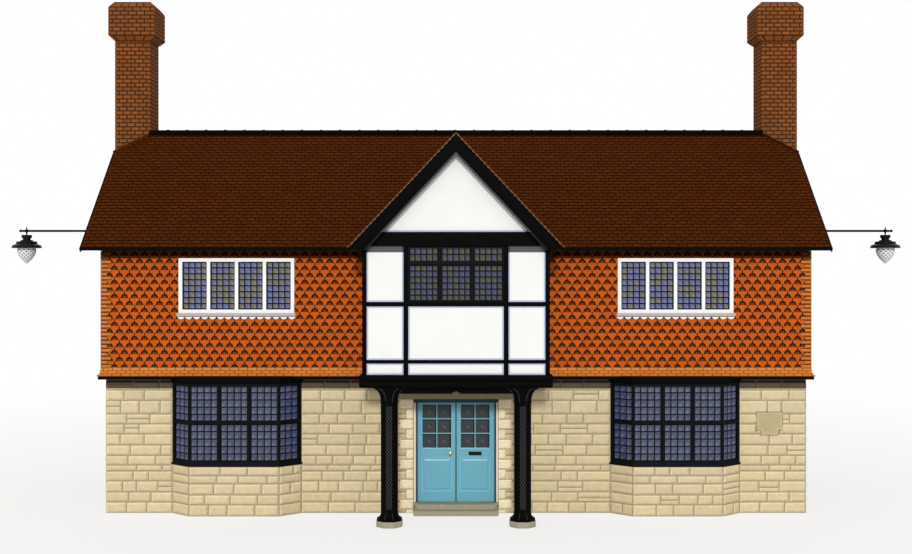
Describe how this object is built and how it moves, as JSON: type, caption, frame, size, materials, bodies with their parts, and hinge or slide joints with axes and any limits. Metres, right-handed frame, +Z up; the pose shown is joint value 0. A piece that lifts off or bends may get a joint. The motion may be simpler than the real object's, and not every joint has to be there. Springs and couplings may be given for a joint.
{
  "type": "half timbered house",
  "caption": "Two-storey village house with stone bays, tile-hung upper walls, a timber-framed gabled chamber on porch columns, a stack at each end and a front door that opens.",
  "frame": {"origin": "middle of the house's plan inside its stone walls' outer faces, at ground level", "axes": "+Z up, +X along the house to the right as seen from the street, and the front with the porch faces -Y"},
  "size_m": [18.104, 7.225, 10.765],
  "materials": {
    "rubble_stone": "matte",
    "dressed_stone": "matte",
    "stone_floor": "matte",
    "floor_boards": "matte",
    "hanging_tile": "matte",
    "skirt_tile": "matte",
    "roof_tile": "matte",
    "black_timber": "satin",
    "grey_timber": "satin",
    "dark_frame": "satin",
    "white_frame": "satin",
    "cream_frame": "satin",
    "plaster": "matte",
    "leaded_glass": "gloss",
    "door_paint": "satin",
    "brick": "matte",
    "lamp_metal": "satin",
    "lamp_glass": "gloss",
    "brass": "polished"
  },
  "bodies": {
    "house": {"ground_floor": "stone_floor", "stone_wall_front_left": "rubble_stone", "stone_wall_front_right": "rubble_stone", "stone_wall_over_door": "rubble_stone", "stone_walls_side": "rubble_stone", "stone_wall_back": "rubble_stone", "upper_floor": "floor_boards", "hung_wall_front_left": "hanging_tile", "hung_wall_front_right": "hanging_tile", "hung_walls_side": "hanging_tile", "hung_wall_back": "hanging_tile", "tile_skirt": "skirt_tile", "skirt_board": "black_timber", "bay_bases": "rubble_stone", "bay_frames": "dark_frame", "bay_glass": "leaded_glass", "bay_heads": "black_timber", "door_quoins": "dressed_stone", "door_lintel": "dressed_stone", "door_frame": "cream_frame", "door_steps": "dressed_stone", "porch_columns": "black_timber", "column_pads": "dressed_stone", "bressummer": "black_timber", "porch_side_beams": "black_timber", "arch_board": "black_timber", "chamber_floor": "floor_boards", "chamber_front_frame": "black_timber", "chamber_side_frames": "black_timber", "chamber_panels": "plaster", "chamber_window_frame": "dark_frame", "chamber_window_glass": "leaded_glass", "tie_beam": "black_timber", "bargeboards": "black_timber", "bargeboard_moulding": "grey_timber", "gable_roof_left": "roof_tile", "gable_roof_right": "roof_tile", "window_frames": "white_frame", "window_glass": "leaded_glass", "window_aprons": "white_frame", "roof_front_left": "roof_tile", "roof_front_right": "roof_tile", "roof_back": "roof_tile", "ridge_caps": "roof_tile", "eaves_boards": "black_timber", "verge_boards": "black_timber", "chimney_left": "brick", "chimney_right": "brick", "lamp_brackets": "lamp_metal", "lamp_globes": "lamp_glass", "stone_plaque": "dressed_stone"},
    "door_left": {"door_leaf_left": "door_paint", "door_glass_left": "leaded_glass", "door_knob": "brass"},
    "door_right": {"door_leaf_right": "door_paint", "door_glass_right": "leaded_glass", "letter_plate": "lamp_metal"}
  },
  "joints": [
    {"name": "door_left_hinge", "type": "hinge", "parent": "house", "child": "door_left", "pos_m": [-0.776, -2.48, 1.2], "axis": [0, 0, 1], "range_deg": [0, 90]},
    {"name": "door_right_hinge", "type": "hinge", "parent": "house", "child": "door_right", "pos_m": [0.776, -2.48, 1.2], "axis": [0, 0, -1], "range_deg": [0, 90]}
  ]
}
